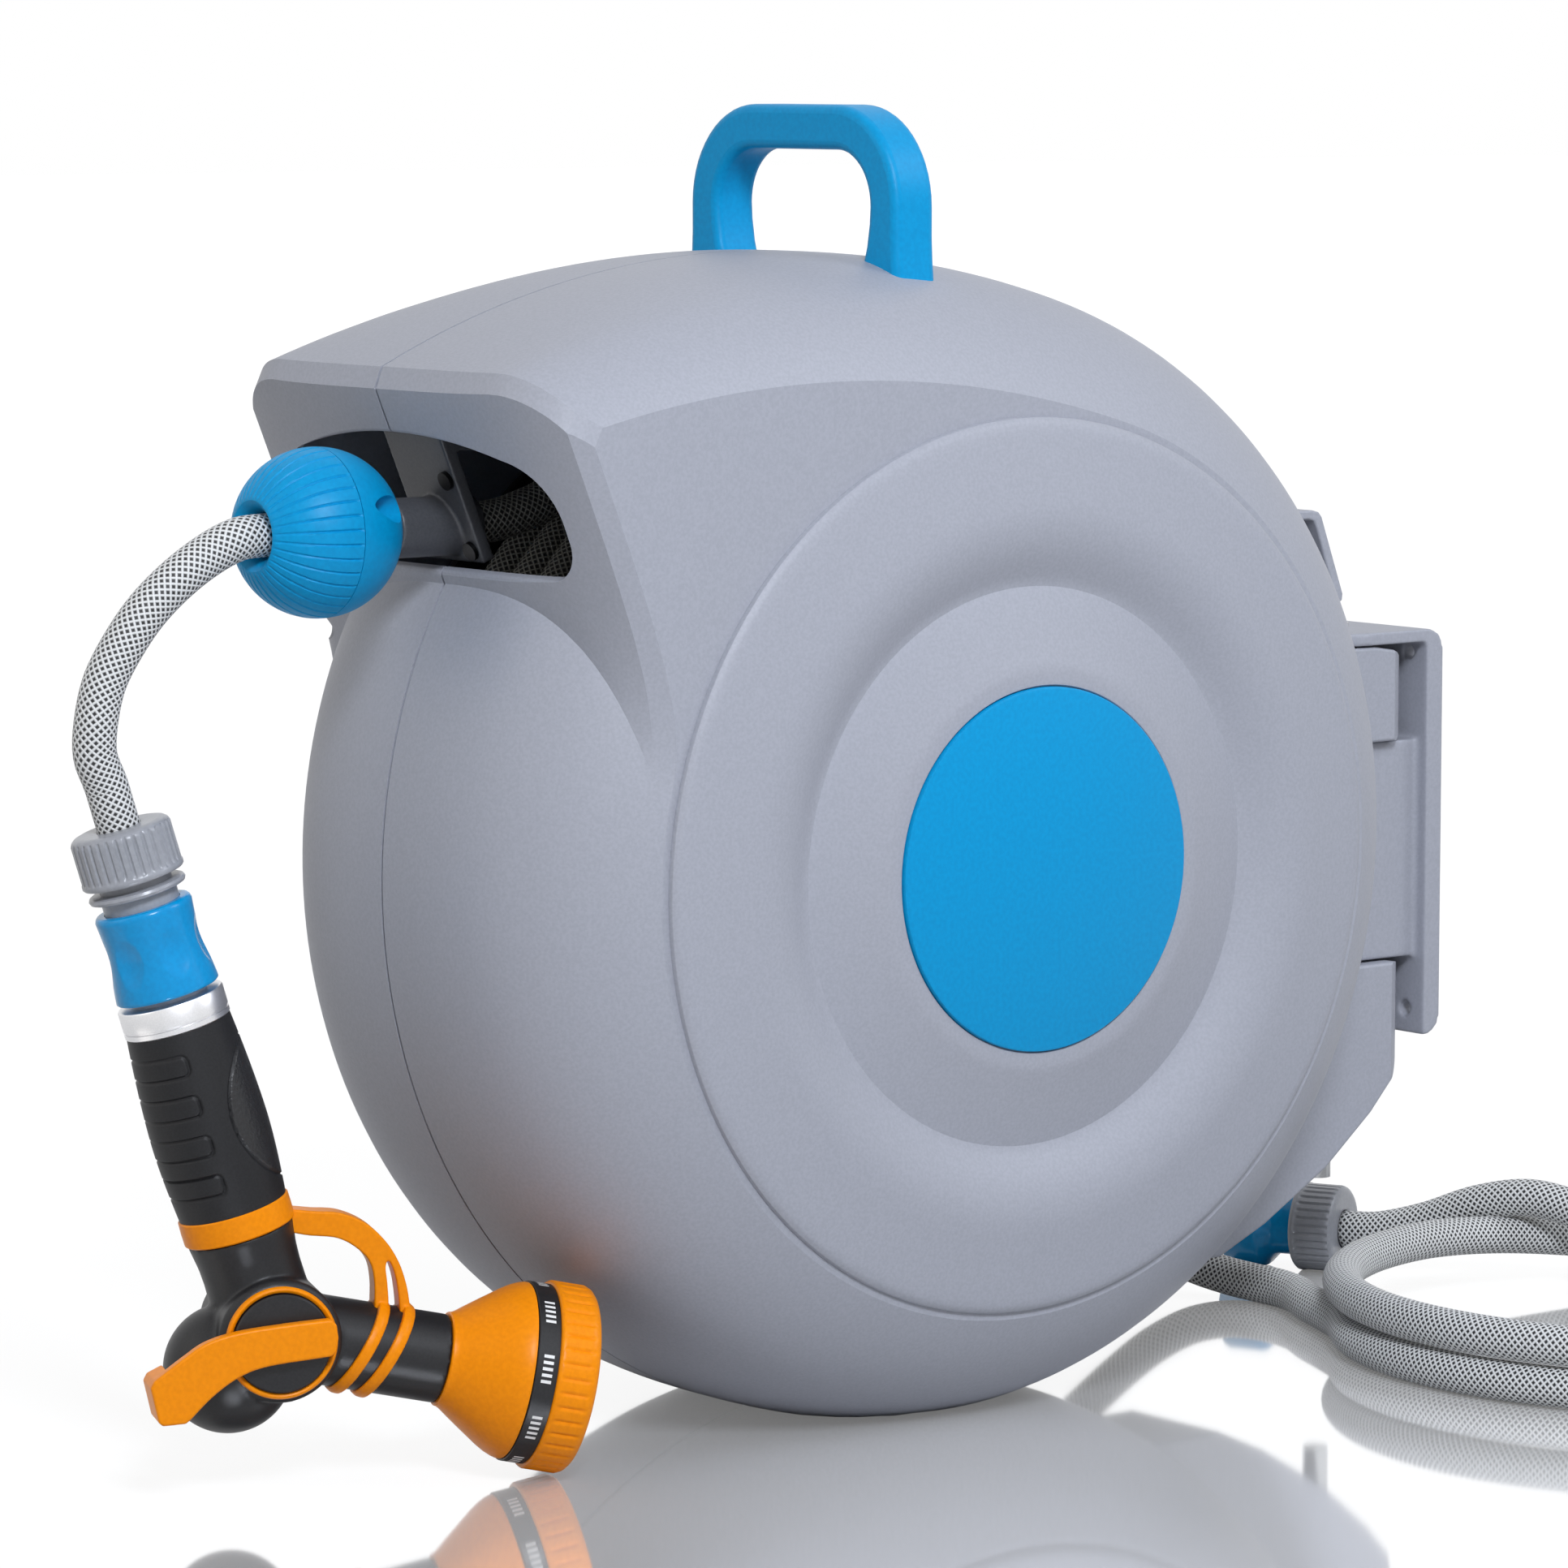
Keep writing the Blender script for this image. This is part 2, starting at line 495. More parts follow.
def braid_material(name, light, dark, low, high):
    """Two sets of yarns that cross: light where one lies on top, dark in the gaps between them."""
    mat, shader = new_material(name, Roughness=0.55, Sheen_Weight=0.2, IOR=1.5)
    coords = add_node(mat, "ShaderNodeUVMap", {"uv_map": "hose_uv"})
    axes = add_node(mat, "ShaderNodeSeparateXYZ", Vector=coords.outputs[0])
    turns, along = [add_node(mat, "ShaderNodeMath", {"operation": "MULTIPLY"}, i0=axis, i1=waves).outputs[0]
                    for axis, waves in zip(axes.outputs, (2 * math.pi * YARNS_ROUND, 2 * math.pi / YARN_LENGTH))]
    yarns = []
    for way in ("ADD", "SUBTRACT"):
        slant = add_node(mat, "ShaderNodeMath", {"operation": way}, i0=turns, i1=along)
        yarns.append(add_node(mat, "ShaderNodeMath", {"operation": "SINE"}, i0=slant.outputs[0]).outputs[0])
    both = add_node(mat, "ShaderNodeMath", {"operation": "MAXIMUM"}, i0=yarns[0], i1=yarns[1])
    level = add_node(mat, "ShaderNodeMapRange", i0=both.outputs[0], i1=-0.2, i2=1.0)
    ramp = add_node(mat, "ShaderNodeValToRGB", i0=level.outputs[0])
    set_ramp(ramp, (low, dark), (high, light))
    bump = add_node(mat, "ShaderNodeBump", Strength=0.6, Distance=YARN_RELIEF, Height=level.outputs[0])
    mat.node_tree.links.new(ramp.outputs[0], shader.inputs["Base Color"])
    mat.node_tree.links.new(bump.outputs[0], shader.inputs["Normal"])
    return mat


def layer_line(r):
    """The middle line of one layer of turns on the drum."""
    turns = [WIND_TURNS * i / WIND_STEPS for i in range(WIND_STEPS + 1)]
    return [Vector((WIND_PITCH * (t - WIND_TURNS / 2), -r * math.sin(2 * math.pi * t),
                    AXIS_H + r * math.cos(2 * math.pi * t))) for t in turns]


# The drum's jacket is darker and harder in contrast, as it shows in the depth of the mouth.
braid = braid_material("braided_polyester_jacket", "#ECECEA", "#0E0E10", 0.0, 0.8)
drum_braid = braid_material("shaded_polyester_jacket", "#B4B4AE", "#060608", 0.4, 1.0)
across_drum = Vector((1, 0, 0))
winding, _ = hose_tube("wound_hose", [layer_line(WIND_R)], across_drum, 16)
dress(winding, drum_braid, "drum", "hose_braid", "hose_winding")
inner_lines = [layer_line(WIND_R - LAYER_DROP * k) for k in range(1, INNER_LAYERS + 1)]
layers, _ = hose_tube("inner_layers", inner_lines, across_drum, 12)
dress(layers, drum_braid, "drum", "hose_braid", "hose_core")
lead_from = Vector((0, HOSE_D - TUBE_END, AXIS_H + BALL_UP))
lead_slope = math.asin(LEAD_R / math.hypot(TUBE_END - HOSE_D, BALL_UP)) - math.atan2(BALL_UP, TUBE_END - HOSE_D)
lead_touch = Vector((0, -LEAD_R * math.sin(lead_slope), AXIS_H + LEAD_R * math.cos(lead_slope)))
ball_at = Vector((0, -BALL_FORE, AXIS_H + BALL_UP))
lead_points = [ball_at, (0, -TUBE_END, AXIS_H + BALL_UP)]
lead_points += [lead_from.lerp(lead_touch, s) for s in (0.12, 0.3, 0.5, 0.7, 0.85, 1)]
lead, _ = hose_tube("lead_hose", [smooth_route(lead_points, HOSE_STEP)], across_drum)
dress(lead, drum_braid, "carriage", "hose_braid", "hose_lead")

# The guide: a dark grey glass-filled nylon carriage whose plate stands in the mouth, held by two
# black screws. It carries the hose to and fro; its edges are softened in the same way as the bracket's.
# The glass in the nylon gives it a dry, dull skin.
guide_plastic = moulded_material("glass_filled_nylon", "#4C4D51", 0.45, 1.0, 0.05)
dress(softened("guide_block", "guide_carriage", 0.7, 5), guide_plastic, "carriage", "dark_plastic", "guide_carriage")

# The ball stop: two blue shells clamped on the hose by screws from behind. The front one is fluted from
# its dished hole to the parting line, the rear one is plain with open screw pockets.
BALL_R, BALL_HOLE, BALL_GAP, BALL_BACK = 29.5, 7.9, 0.15, -28.3
FLUTES, FLUTE_HALF, FLUTE_DEEP, FLUTE_FROM_R, FLUTE_FADE, FLUTE_LOW = 36, 0.55, 0.6, 12, 3, 0.8
CLAMP_R, CLAMP_TURN, CLAMP_DEEP, CLAMP_LONG = 24, math.radians(21), -16, 30


def ball_line(r, start, end, steps):
    """A profile along a ball, from the start to the end angle from its pole, in degrees."""
    return [(r * math.sin(t), r * math.cos(t))
            for t in [math.radians(start + (end - start) * i / steps) for i in range(steps + 1)]]


def fluted(turn, height, r):
    """Narrow round-bottomed flutes that run out towards the dished hole."""
    if r < FLUTE_FROM_R or height < FLUTE_LOW:
        return 0
    off = abs((turn * FLUTES / (2 * math.pi)) % 1 - 0.5) * 2 * math.pi / FLUTES * r
    return FLUTE_DEEP * max(0, 1 - (off / FLUTE_HALF) ** 2) * min(1, (r - FLUTE_FROM_R) / FLUTE_FADE)


ball_front_profile = [(BALL_HOLE, BALL_GAP), (BALL_HOLE, 19.5), (8.4, 21.5), (9.6, 24), (11.2, 25.7), (12.3, 26.4),
                      (13.4, 26.28)] + ball_line(BALL_R, 28, 89.7, 40)
ball_front_profile += [(BALL_R - 0.5, BALL_GAP), (BALL_HOLE, BALL_GAP)]
ball_place = Matrix.Translation(ball_at) @ UPRIGHT
ball_front = turned("fluted_ball_shell", ball_front_profile, 576, ball_place, fluted)
dress(ball_front, blue_plastic, "carriage", "trim_blue", "ball_front")
ball_rear_profile = [(BALL_HOLE, BALL_BACK), (BALL_HOLE, -BALL_GAP), (BALL_R - 0.5, -BALL_GAP)]
ball_rear_profile += ball_line(BALL_R, 90.3, 162, 40) + [(9.0, BALL_BACK), (BALL_HOLE, BALL_BACK)]
ball_rear = turned("plain_ball_shell", ball_rear_profile, 192, ball_place)
for side in (1, -1):
    clamp_at = Vector((side * CLAMP_R * math.cos(CLAMP_TURN), side * CLAMP_R * math.sin(CLAMP_TURN), CLAMP_DEEP)) * MM
    screw_pocket(ball_rear, ball_place @ Matrix.Translation(clamp_at), CLAMP_LONG)
dress(settle(ball_rear), blue_plastic, "carriage", "trim_blue", "ball_rear")

# The front hose: from the ball it bends down into the nozzle's connector, and its line runs on through
# the grip to the valve. It carries the nozzle, which stands on its head's rim in front of the casing.
NOZZLE_YAW, GRIP_LEAN, HEAD_DIP = math.radians(66.8), math.radians(16), math.radians(12)
BEZEL_FROM, BEZEL_W, BEZEL_R, FLOOR_GAP = 95, 15, 33, 0.2
VALVE_SIDE, VALVE_FORE = 12, -266
VALVE_UP = (BEZEL_FROM + BEZEL_W) * math.sin(HEAD_DIP) + BEZEL_R * math.cos(HEAD_DIP) + FLOOR_GAP
VALVE_AT = Vector((VALVE_SIDE, VALVE_FORE, VALVE_UP)) * MM
IN_NOZZLE = Matrix.Translation(VALVE_AT) @ Matrix.Rotation(NOZZLE_YAW, 4, "Z")
ON_GRIP = IN_NOZZLE @ Matrix.Rotation(-GRIP_LEAN, 4, "Y")
ON_HEAD = IN_NOZZLE @ Matrix.Rotation(math.pi / 2 + HEAD_DIP, 4, "Y")
NUT_FROM, NUT_W, NUT_R = 165, 18, 17.5
grip_axis = ON_GRIP.to_3x3() @ Vector((0, 0, 1))
nut_end = VALVE_AT + (NUT_FROM + NUT_W) * MM * grip_axis
front_points = [ball_at, (0, -0.260, 0.328), (0, -0.270, 0.3267), (-0.001, -0.281, 0.3216), (-0.002, -0.2925, 0.314),
                (-0.004, -0.3025, 0.3045), (-0.006, -0.3105, 0.2935), (-0.008, -0.317, 0.281), (-0.009, -0.320, 0.268),
                (-0.010, -0.320, 0.256), nut_end + HOSE_D * grip_axis, nut_end, nut_end.lerp(VALVE_AT, 0.5), VALVE_AT]
front_line = smooth_route(front_points, HOSE_STEP)
hose_front, front_length = hose_tube("front_hose", [front_line], across_drum)
dress(hose_front, braid, "carriage", "hose_braid", "hose_front")

# The hose connector: a ribbed grey nut with a ring and a glossy neck below it, and the blue collar with
# six finger dimples that slides to let the nozzle go. All are turned; ribs and dimples are relief.
BORE_R, NECK_R, COLLAR_FROM, COLLAR_W, COLLAR_R = 5, 13.2, 124, 31, 18
WAIST, WAIST_AT, WAIST_POWER, FLARE, FLARE_POWER = 0.1, 0.62, 1.5, 0.055, 1.3
NUT_RIBS, RIB_DEEP, RIB_LOW, RIB_TOP, RIB_FADE = 34, 0.7, 2.2, NUT_W - 1.2, 0.8
DIMPLES, DIMPLE_TURN, DIMPLE_AT, DIMPLE_HALF_W, DIMPLE_HALF_H, DIMPLE_DEEP = 6, math.radians(225), 0.47, 5.6, 8.6, 1.5
SKIN_FROM_R = 15


def raised(place, height):
    """The place moved up its own Z by a height in millimetres."""
    return place @ Matrix.Translation((0, 0, height * MM))


def ribbed(turn, height, r):
    """Hollows between the nut's ribs, which run out at both ends."""
    if r < NUT_R - 1.2 or not RIB_LOW < height < RIB_TOP:
        return 0
    run_out = min(1, (height - RIB_LOW) / RIB_FADE, (RIB_TOP - height) / RIB_FADE)
    return RIB_DEEP * max(0, math.cos(NUT_RIBS * turn)) * run_out


def dimpled(turn, height, r):
    """Shallow oval dimples for the fingers, spaced evenly round the collar."""
    if r < SKIN_FROM_R:
        return 0
    spacing = 2 * math.pi / DIMPLES
    off = ((turn - DIMPLE_TURN) / spacing + 0.5) % 1 - 0.5
    u, v = off * spacing * r / DIMPLE_HALF_W, (height - DIMPLE_AT * COLLAR_W) / DIMPLE_HALF_H
    return DIMPLE_DEEP * max(0, 1 - u * u - v * v)


def collar_r(t):
    """The collar's radius at a share t of its width: a waist, then a flare towards the nut."""
    waist = WAIST * math.sin(math.pi * (0.5 * min(t, WAIST_AT) / WAIST_AT)) ** WAIST_POWER
    return COLLAR_R * (1 - waist + FLARE * max(0, (t - WAIST_AT) / (1 - WAIST_AT)) ** FLARE_POWER)


nut_profile = dense([(7.6, 13), (7.6, NUT_W - 0.4), (8, NUT_W), (14.6, NUT_W), (16, NUT_W - 0.4), (17, NUT_W - 1.2),
                     (NUT_R, NUT_W - 2.4), (NUT_R, 2.2), (NUT_R + 0.3, 1.8), (NUT_R + 0.3, 0.6), (NUT_R - 0.2, 0),
                     (13, 0), (13, 4), (7.6, 13)], 1.2)
# ABS from a polished mould is smoother than the casing: the neck and collar carry clear highlights.
connector_plastic = moulded_material("glossy_grey_abs", "#A0A2A8", 0.28, 1.6, 0.02)
gloss_blue = moulded_material("glossy_blue_abs", "#009AD8", 0.2, 1.6, 0.01, Specular_IOR_Level=0.3)
nut = turned("ribbed_hose_nut", nut_profile, 408, raised(ON_GRIP, NUT_FROM), ribbed, 50)
dress(nut, connector_plastic, "carriage", "connector_grey", "hose_nut")
neck_profile = [(BORE_R, 122), (NECK_R, 122), (NECK_R, 159.5), (15.6, 159.5), (16.6, 159.9), (17, 160.8),
                (16.6, 161.7), (15.6, 162.2), (12.6, 162.2), (12.4, 169), (BORE_R, 169), (BORE_R, 122)]
neck = turned("connector_neck", neck_profile, 128, ON_GRIP)
dress(neck, connector_plastic, "carriage", "connector_grey", "connector_body")
collar_profile = [(NECK_R + 0.2, 0.4), (COLLAR_R - 0.5, 0), (COLLAR_R, 0.5)]
collar_profile += [(collar_r(t), COLLAR_W * t) for t in [0.06 + 0.88 * i / 30 for i in range(31)]]
collar_profile += [(16.6, COLLAR_W - 0.7), (16.0, COLLAR_W - 0.1), (15.2, COLLAR_W), (NECK_R + 0.2, COLLAR_W),
                   (NECK_R + 0.2, 0.4)]
collar = turned("dimpled_collar", dense(collar_profile, 1.0), 288, raised(ON_GRIP, COLLAR_FROM), dimpled, 50)
dress(collar, gloss_blue, "collar", "trim_blue", "connector_collar")

# The nozzle's grip: a turned aluminium adaptor ring over a black rubber grip with four outlined pads on
# its back and an oval pebbled patch in front; an orange band closes its foot.
BAND_FROM, BAND_W, GRIP_FROM, GRIP_TO, GRIP_STEPS = 37, 9, 46, 112, 150
GRIP_R, FOOT_SHARE, BELLY_SHARE, BELLY_AT, SLIM, SLIM_POWER = 20.5, 0.92, 0.08, 0.42, 0.115, 1.6
PAD_LOWS, PAD_H, PAD_HALF, PAD_CORNER = (54.8, 69, 83.2, 97.4), 7.2, math.radians(81), 2.2
PATCH_AT, PATCH_W, PATCH_H, PATCH_INSIDE, GROOVE_HALF, GROOVE_DEEP = 77.5, 26, 25.7, 0.975, 0.6, 0.8


def groove(off):
    """Depth of a round-bottomed groove at a distance from its middle line."""
    return GROOVE_DEEP * max(0, 1 - (off / GROOVE_HALF) ** 2) ** 0.5 if abs(off) < GROOVE_HALF else 0


def patch_reach(turn, height):
    """How far a spot lies out from the patch's middle, with 1 on its outline."""
    return math.hypot(turn * GRIP_R / PATCH_W, (height - PATCH_AT) / PATCH_H)


def padded_grip(turn, height, r):
    """The grooves round the patch in front and round each pad at the back."""
    if r < SKIN_FROM_R or not GRIP_FROM + 0.5 < height < GRIP_TO - 0.5:
        return 0
    depth = groove((patch_reach(turn, height) - 1) * PATCH_W)
    from_back = abs(abs(turn) - math.pi)
    for low in PAD_LOWS:
        u, v = (from_back - PAD_HALF) * r + PAD_CORNER, abs(height - low - PAD_H / 2) - PAD_H / 2 + PAD_CORNER
        depth = max(depth, groove(math.hypot(max(u, 0), max(v, 0)) + min(max(u, v), 0) - PAD_CORNER))
    return depth


def grip_r(t):
    """The grip's radius at a share t of its length: from the foot it swells to a belly, then slims."""
    swell = BELLY_SHARE * math.sin(math.pi / 2 * min(1, t / BELLY_AT))
    return GRIP_R * (FOOT_SHARE + swell - SLIM * max(0, (t - BELLY_AT) / (1 - BELLY_AT)) ** SLIM_POWER)


adaptor_profile = [(BORE_R, 0), (18.2, 0), (18.5, 0.3), (18.5, 1.9), (18.0, 2.1), (18.0, 2.6), (18.5, 2.8),
                   (18.5, 9.2), (18.1, 9.8), (17.4, 10), (BORE_R, 10), (BORE_R, 0)]
# Fine turning lines blur what the aluminium mirrors, so it reads as bright satin metal.
aluminium = moulded_material("turned_aluminium", "#E2E2E4", 0.3, 0.5, 0.01, Metallic=1.0)
adaptor = turned("adaptor_band", adaptor_profile, 160, raised(ON_GRIP, GRIP_TO))
dress(adaptor, aluminium, "carriage", "ring_aluminium", "adaptor_ring")
grip_profile = [(BORE_R, GRIP_FROM)]
grip_profile += [(grip_r(t), GRIP_FROM + t * (GRIP_TO - GRIP_FROM))
                 for t in [i / GRIP_STEPS for i in range(GRIP_STEPS + 1)]]
grip_profile += [(BORE_R, GRIP_TO), (BORE_R, GRIP_FROM)]
# Rubber is dull and nearly black; the patch has a coarse pebbled skin that breaks up the light.
grip_rubber = moulded_material("black_grip_rubber", "#1A1A1C", 0.5, 0.8, 0.05, Specular_IOR_Level=0.3)
pebbled_rubber = moulded_material("pebbled_grip_rubber", "#161618", 0.42, 1.3, 0.9)
grip = turned("padded_grip", grip_profile, 288, ON_GRIP, padded_grip, 60)
dress(grip, grip_rubber, "carriage", "grip_rubber", "nozzle_grip")
grip.data.materials.append(pebbled_rubber)
from_grip = ON_GRIP.inverted()
for face in grip.data.polygons:
    spot = from_grip @ face.center
    on_patch = patch_reach(math.atan2(spot.y, spot.x), spot.z / MM) < PATCH_INSIDE
    if spot.xy.length > SKIN_FROM_R * MM and on_patch:
        face.material_index = 1
# The orange is a satin ABS: an even, saturated colour with broad highlights.
orange_plastic = moulded_material("satin_orange_abs", "#FF9602", 0.36, 1.6, 0.02, Specular_IOR_Level=0.18)
band_profile = [(BORE_R, 0), (19.0, 0), (19.5, 0.5), (19.6, BAND_W / 2), (19.5, BAND_W - 0.5), (19.0, BAND_W),
                (BORE_R, BAND_W), (BORE_R, 0)]
band = turned("grip_foot_band", band_profile, 160, raised(ON_GRIP, BAND_FROM))
dress(band, orange_plastic, "carriage", "nozzle_orange", "grip_band")

# The valve body: black nylon, one moulding of boss, heel, waisted neck and barrel, joined in small cells
# and smoothed so that they flow together. An orange ring and a black disc close the boss.
BOSS_R, BOSS_EDGE, CHEEK, BARREL_R, CONE_FROM, DISC_R, DISC_H = 21.5, 2, 21, 15.5, 61, 17, 3
HEEL_R, HEEL_AT, HEEL_FLAT = 22.5, Vector((-14.6, 0, -12)), 0.92
ON_CHEEK = IN_NOZZLE @ Matrix.Translation((0, -CHEEK * MM, 0)) @ UPRIGHT
boss_profile = [(0, -2 * CHEEK), (BOSS_R - BOSS_EDGE, -2 * CHEEK), (BOSS_R, BOSS_EDGE - 2 * CHEEK),
                (BOSS_R, -BOSS_EDGE), (BOSS_R - BOSS_EDGE, 0), (0, 0)]
neck_outline = [(0, 0), (17.6, 0), (17.2, 14), (17.0, 22), (17.3, 28), (18.2, 34), (18.7, BAND_FROM), (0, BAND_FROM)]
barrel_profile = [(0, 0), (BARREL_R, 0), (BARREL_R, CONE_FROM), (0, CONE_FROM)]
heel_place = IN_NOZZLE @ Matrix.Translation(HEEL_AT * MM) @ Matrix.Diagonal((1, HEEL_FLAT, 1, 1))
valve_shapes = [turned("valve_boss", boss_profile, 96, ON_CHEEK), turned("valve_neck", neck_outline, 96, ON_GRIP),
                turned("valve_heel", ball_line(HEEL_R, 0, 180, 48), 96, heel_place),
                turned("valve_barrel", barrel_profile, 96, ON_HEAD)]
# Black nylon has a soft sheen that shows how the round shapes flow together.
black_plastic = moulded_material("black_nylon", "#1C1C1E", 0.42, 0.9, 0.04, Specular_IOR_Level=0.35)
valve = rebuilt(joined(valve_shapes), 0.7, 10)
dress(valve, black_plastic, "carriage", "dark_plastic", "valve_body")
ring_profile = [(17.35, -0.4), (17.35, 1.0), (17.8, 1.6), (18.4, 1.8), (19.0, 1.6), (19.4, 1.0), (19.4, -0.4)]
bead = turned("valve_bead", ring_profile, 128, ON_CHEEK)
dress(bead, orange_plastic, "carriage", "nozzle_orange", "valve_ring")
disc_profile = [(0, -8), (3, -8), (3, 0.3), (DISC_R, 0.3), (DISC_R, DISC_H - 0.6), (DISC_R - 0.6, DISC_H), (0, DISC_H)]
disc = turned("lever_pivot_disc", disc_profile, 128, ON_CHEEK)
dress(disc, black_plastic, "lever", "dark_plastic", "lever_disc")

# The flow lever and the finger guard: orange mouldings with rounded edges. The guard springs from the
# band, splits into two strands and runs round the barrel in two slanting bands.
LEVER_T, THUMB_BACK, GUARD_W = 5, 12, 10
STRAND_AT, STRAND_W, STRAND_SLANT = (31, 40), 4.2, math.radians(20)


def soft_edge(points):
    """A smooth run of an outline through the points."""
    return [(p.x, p.y) for p in smooth_route([(x, y, 0) for x, y in points], 1.0)]


lever_outline = [(15.9, -4.2), (17.6, -2.6), (18.4, 2), (17.8, 6.6), (15.9, 8.5)]
lever_outline += soft_edge([(13, 8.4), (0, 7.4), (-16, 5.6), (-27, 2.6), (-35, -2.4), (-45, -9.6)])
lever_outline += [(-46.3, -12), (-43.6, -24), (-42.2, -25.2), (-34.4, -24.8)]
lever_outline += soft_edge([(-32.8, -23.6), (-25, -16), (-16, -9.9), (-6, -6.6), (13, -4.5)])
thumb_outline = [(-45, -9.6), (-46.3, -12), (-43.6, -24), (-42.2, -25.2), (-38.4, -25), (-39.6, -7)]
thumb_place = raised(ON_CHEEK, DISC_H - THUMB_BACK)
lever_shapes = [plate("thumb_lever", lever_outline, LEVER_T, raised(ON_CHEEK, DISC_H), 0.8),
                plate("thumb_block", thumb_outline, LEVER_T + THUMB_BACK, thumb_place, 0.8)]
lever = rebuilt(joined(lever_shapes), 0.4, 3)
dress(lever, orange_plastic, "lever", "nozzle_orange", "flow_lever")
guard_outline = soft_edge([(2, 36), (12, 33.6), (23, 32), (30.4, 27.6), (34.3, 22.6), (35.6, 16), (35.6, 9), (35.4, 3)])
guard_outline += soft_edge([(40.6, 3), (40.6, 10), (40.2, 16), (39.7, 21), (40.4, 23.4), (41.6, 22), (43.2, 17),
                            (44.2, 10), (44.6, 3)])
guard_outline += soft_edge([(48.4, 3), (47.9, 9), (46.6, 16), (44, 23.4), (39.6, 30.4), (32.9, 36.8), (24, 40.8),
                            (14, 41.9), (2, 43.6)])
guard_place = IN_NOZZLE @ Matrix.Translation((0, GUARD_W / 2 * MM, 0)) @ UPRIGHT
guard_shapes = [plate("split_guard", guard_outline, GUARD_W, guard_place, 1.0)]
strand_profile = [(BARREL_R + out, STRAND_W / 2 * end)
                  for out, end in ((-0.6, -1), (1.4, -1), (1.9, 0), (1.4, 1), (-0.6, 1), (-0.6, -1))]
for at in STRAND_AT:
    slanted = raised(ON_HEAD, at) @ Matrix.Rotation(STRAND_SLANT, 4, "Y")
    stretched = slanted @ Matrix.Diagonal((1 / math.cos(STRAND_SLANT), 1, 1, 1))
    guard_shapes.append(turned("guard_strand", strand_profile, 96, stretched))
guard = rebuilt(joined(guard_shapes), 0.4, 4)
dress(guard, orange_plastic, "carriage", "nozzle_orange", "finger_guard")

# The spray head: an orange cone with a rounded shoulder, a black dial ring with plain white marks printed
# on it and the orange bezel that turns with it; shallow flutes run across the bezel's rim.
CONE_W, DIAL_R, DIAL_HOLE, MARK_MARGIN = 26, 31.5, 7.5, 2
DIAL_FROM, DIAL_TO = CONE_FROM + CONE_W + 0.3, BEZEL_FROM - 0.1
MARKS, MARK_FROM, MARK_TO, STROKE_STEP, STROKE_W = 9, 0.2, 0.7, 0.1, 0.055
BEZEL_FLUTES, RIM_DEEP, RIM_LOW, RIM_TOP, RIM_FADE = 40, 0.55, 1.2, BEZEL_W - 2.5, 1.5


def fluted_rim(turn, height, r):
    """Narrow flutes across the bezel's rim, which run out at both ends."""
    if r < BEZEL_R - 1.5 or not RIM_LOW < height < RIM_TOP:
        return 0
    run_out = min(1, (height - RIM_LOW) / RIM_FADE, (RIM_TOP - height) / RIM_FADE)
    return RIM_DEEP * max(0, math.cos(BEZEL_FLUTES * turn)) ** 3 * run_out


cone_profile = [(BORE_R, 0), (15.9, 0), (16.4, 0.4), (16.6, 1.4), (17.2, 2.6), (19.6, 6), (22.6, 10.4), (25.4, 14.6),
                (27.8, 18.2), (29.4, 21), (30.5, 23.6), (30.9, 25.2), (30.9, CONE_W), (BORE_R, CONE_W), (BORE_R, 0)]
cone = turned("spray_shoulder", cone_profile, 160, raised(ON_HEAD, CONE_FROM), sharp=25)
dress(cone, orange_plastic, "carriage", "nozzle_orange", "spray_cone")
dial_profile = [(DIAL_HOLE, DIAL_FROM), (DIAL_R - 0.3, DIAL_FROM), (DIAL_R, DIAL_FROM + 0.3), (DIAL_R, DIAL_TO),
                (DIAL_HOLE, DIAL_TO), (DIAL_HOLE, DIAL_FROM)]
dial = turned("marked_dial_ring", dense(dial_profile, 1.0), 360, ON_HEAD)
dress(dial, black_plastic, "dial", "dark_plastic", "dial_ring")
# Printing ink: flat white without a shine of its own.
mark_white = moulded_material("white_print", "#F2F2F0", 0.5, 0.6, 0.005)
dial.data.materials.append(mark_white)
from_head = ON_HEAD.inverted()
for face in dial.data.polygons:
    spot = from_head @ face.center / MM
    share = (math.degrees(math.atan2(spot.y, spot.x)) % (360 / MARKS)) / (360 / MARKS)
    on_rim = math.hypot(spot.x, spot.y) > DIAL_R - 0.2 and DIAL_FROM + MARK_MARGIN < spot.z < BEZEL_FROM - MARK_MARGIN
    if on_rim and MARK_FROM < share < MARK_TO and share % STROKE_STEP < STROKE_W:
        face.material_index = 1
bezel_profile = [(28, 5), (28, BEZEL_W - 0.5), (28.5, BEZEL_W), (29.6, BEZEL_W), (31.2, BEZEL_W - 0.5),
                 (32.3, BEZEL_W - 1.5), (BEZEL_R, BEZEL_W - 3.2), (BEZEL_R, 1.0), (BEZEL_R - 0.4, 0.3),
                 (BEZEL_R - 1, 0), (10, 0), (10, 5), (28, 5)]
bezel = turned("fluted_bezel", dense(bezel_profile, 1.0), 480, raised(ON_HEAD, BEZEL_FROM), fluted_rim, 45)
dress(bezel, orange_plastic, "dial", "nozzle_orange", "spray_bezel")

